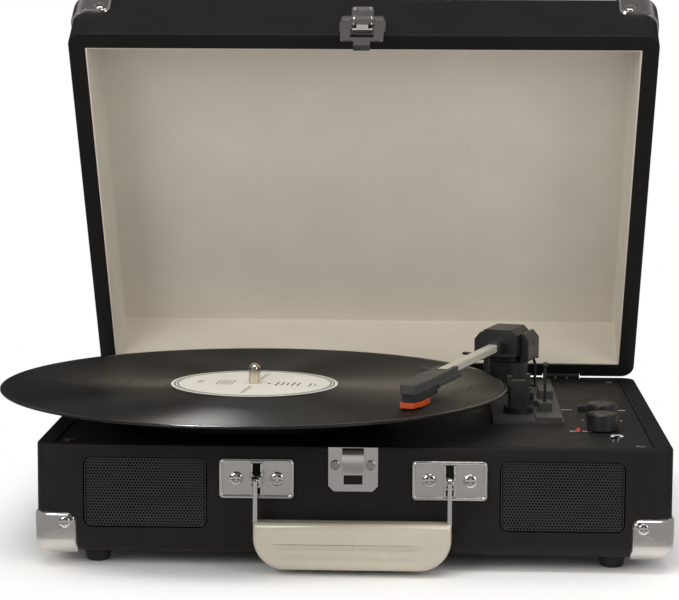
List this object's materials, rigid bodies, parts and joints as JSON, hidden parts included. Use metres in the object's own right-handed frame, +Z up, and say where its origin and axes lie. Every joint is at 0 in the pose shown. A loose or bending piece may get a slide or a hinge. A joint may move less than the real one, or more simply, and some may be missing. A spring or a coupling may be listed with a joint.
{
  "type": "record player",
  "caption": "Suitcase record player, lid open, with a belt-driven platter, a record, a pivoted arm, two front loudspeakers and a carrying handle.",
  "frame": {"origin": "centre of the case's footprint, on the floor under the feet", "axes": "+Z up, -Y towards the front with the handle, +X towards the side with the controls and the arm"},
  "size_m": [0.3927, 0.3563, 0.3207],
  "materials": {
    "case_covering": "black grained leatherette",
    "bare_wood": "raw",
    "board_black": "fine textured black",
    "black_steel": "black painted",
    "dark_steel": "black oxide",
    "grille_paint": "black powder coat",
    "basket_steel": "plated",
    "cone_paper": "black pressed paper",
    "nickel": "satin nickel plate",
    "rubber_black": "matte",
    "spring_steel": "polished",
    "black_plastic": "satin",
    "socket_steel": "bright nickel",
    "board_green": "solder mask",
    "lamp_red": "clear red",
    "white_plastic": "satin",
    "motor_can": "plated",
    "brass": "turned",
    "platter_metal": "dark painted",
    "felt": "felt",
    "vinyl": "pressed grooves",
    "label_paper": "printed",
    "spindle_steel": "polished",
    "dark_plastic": "satin",
    "tube_silver": "silver satin",
    "shell_grey": "satin",
    "stylus_orange": "translucent",
    "lining_cream": "flocked paper",
    "grip_cream": "glossy"
  },
  "bodies": {
    "case": {"base_tray": "case_covering", "corner_blocks": "bare_wood", "motor_board": "board_black", "board_screws": "dark_steel", "grille_left": "grille_paint", "grille_right": "grille_paint", "speaker_baskets": "basket_steel", "speaker_cones": "cone_paper", "base_corner_caps": "nickel", "case_screws": "nickel", "rubber_feet": "rubber_black", "hinge_base_leaves": "black_steel", "hinge_pins": "spring_steel", "catch_plate": "nickel", "catch_spring": "spring_steel", "catch_rivets": "nickel", "handle_brackets": "nickel", "jack_panel": "black_plastic", "rca_jacks": "socket_steel", "aux_jack": "black_plastic", "dc_jack": "black_plastic", "main_pcb": "board_green", "control_pots": "motor_can", "headphone_jack": "socket_steel", "power_lamp": "lamp_red", "drive_motor": "motor_can", "drive_belt": "rubber_black", "bearing_bush": "brass", "arm_plate": "dark_plastic", "arm_pedestal": "dark_plastic", "arm_rest": "black_plastic"},
    "turntable": {"platter": "platter_metal", "slip_mat": "felt", "record": "vinyl", "record_label": "label_paper", "spindle": "spindle_steel"},
    "pulley": {"motor_pulley": "brass"},
    "arm_swivel": {"arm_turret": "black_plastic", "arm_leads": "black_plastic"},
    "arm": {"arm_head": "black_plastic", "arm_tube": "tube_silver", "headshell": "shell_grey", "cartridge": "black_plastic", "stylus_holder": "stylus_orange"},
    "lid": {"lid_shell": "case_covering", "lid_lining": "lining_cream", "lid_corner_caps": "nickel", "lid_cap_screws": "nickel", "hinge_lid_leaves": "black_steel", "latch_plate": "nickel"},
    "hasp": {"latch_hasp": "nickel"},
    "thumb_lever": {"latch_lever": "nickel"},
    "handle": {"handle_grip": "grip_cream", "handle_straps": "nickel"},
    "volume": {"volume_knob": "black_plastic"},
    "pitch": {"pitch_knob": "black_plastic"},
    "autostop": {"autostop_slider": "black_plastic"},
    "selector": {"speed_selector": "black_plastic"},
    "cue": {"cue_lever": "black_plastic"},
    "lifter": {"lift_bar": "dark_plastic"}
  },
  "joints": [
    {"name": "platter_spin", "type": "hinge", "parent": "case", "child": "turntable", "pos_m": [-0.0625, -0.0345, 0.0871], "axis": [0, 0, 1], "continuous": true},
    {"name": "motor_pulley_spin", "type": "hinge", "parent": "case", "child": "pulley", "pos_m": [-0.13307, -0.00881, 0.0775], "axis": [0, 0, 1], "continuous": true},
    {"name": "arm_swing", "type": "hinge", "parent": "case", "child": "arm_swivel", "pos_m": [0.0915, 0.072, 0.1025], "axis": [0, 0, 1], "range_deg": [-21.5, 20.2]},
    {"name": "arm_lift", "type": "hinge", "parent": "arm_swivel", "child": "arm", "pos_m": [0.0915, 0.072, 0.1025], "axis": [-0.9548, 0.2974, 0], "range_deg": [0, 12]},
    {"name": "cue_lever_tilt", "type": "hinge", "parent": "case", "child": "cue", "pos_m": [0.1125, -0.00299, 0.0745], "axis": [-1, 0, 0], "range_deg": [0, 36]},
    {"name": "lift_bar_raise", "type": "slide", "parent": "case", "child": "lifter", "axis": [0, 0, 1], "range_m": [0, 0.009]},
    {"name": "lid_hinge", "type": "hinge", "parent": "case", "child": "lid", "pos_m": [0, 0.1325, 0.0717], "axis": [-1, 0, 0], "range_deg": [-38, 36.6]},
    {"name": "latch_hasp_swing", "type": "hinge", "parent": "lid", "child": "hasp", "pos_m": [0, 0.00319, 0.30727], "axis": [-1, 0, 0], "range_deg": [0, 100]},
    {"name": "latch_lever_turn", "type": "hinge", "parent": "lid", "child": "thumb_lever", "pos_m": [0, -0.00723, 0.30074], "axis": [1, 0, 0], "range_deg": [0, 75]},
    {"name": "handle_swing", "type": "hinge", "parent": "case", "child": "handle", "pos_m": [0, -0.143, 0.0525], "axis": [-1, 0, 0], "range_deg": [-2, 110]},
    {"name": "volume_turn", "type": "hinge", "parent": "case", "child": "volume", "pos_m": [0.143, -0.0665, 0.0705], "axis": [0, 0, 1], "range_deg": [-140, 140]},
    {"name": "pitch_turn", "type": "hinge", "parent": "case", "child": "pitch", "pos_m": [0.145, -0.031, 0.0705], "axis": [0, 0, 1], "range_deg": [-130, 130]},
    {"name": "autostop_slide", "type": "slide", "parent": "case", "child": "autostop", "axis": [1, 0, 0], "range_m": [0, 0.008]},
    {"name": "speed_select", "type": "slide", "parent": "case", "child": "selector", "axis": [0, 1, 0], "range_m": [0, 0.012]}
  ],
  "couplings": [
    {"joint": "motor_pulley_spin", "follows": "platter_spin", "ratio": 12.4},
    {"joint": "cue_lever_tilt", "follows": "arm_lift", "ratio": 2.9167},
    {"joint": "lift_bar_raise", "follows": "arm_lift", "m_per_rad": 0.0375}
  ]
}
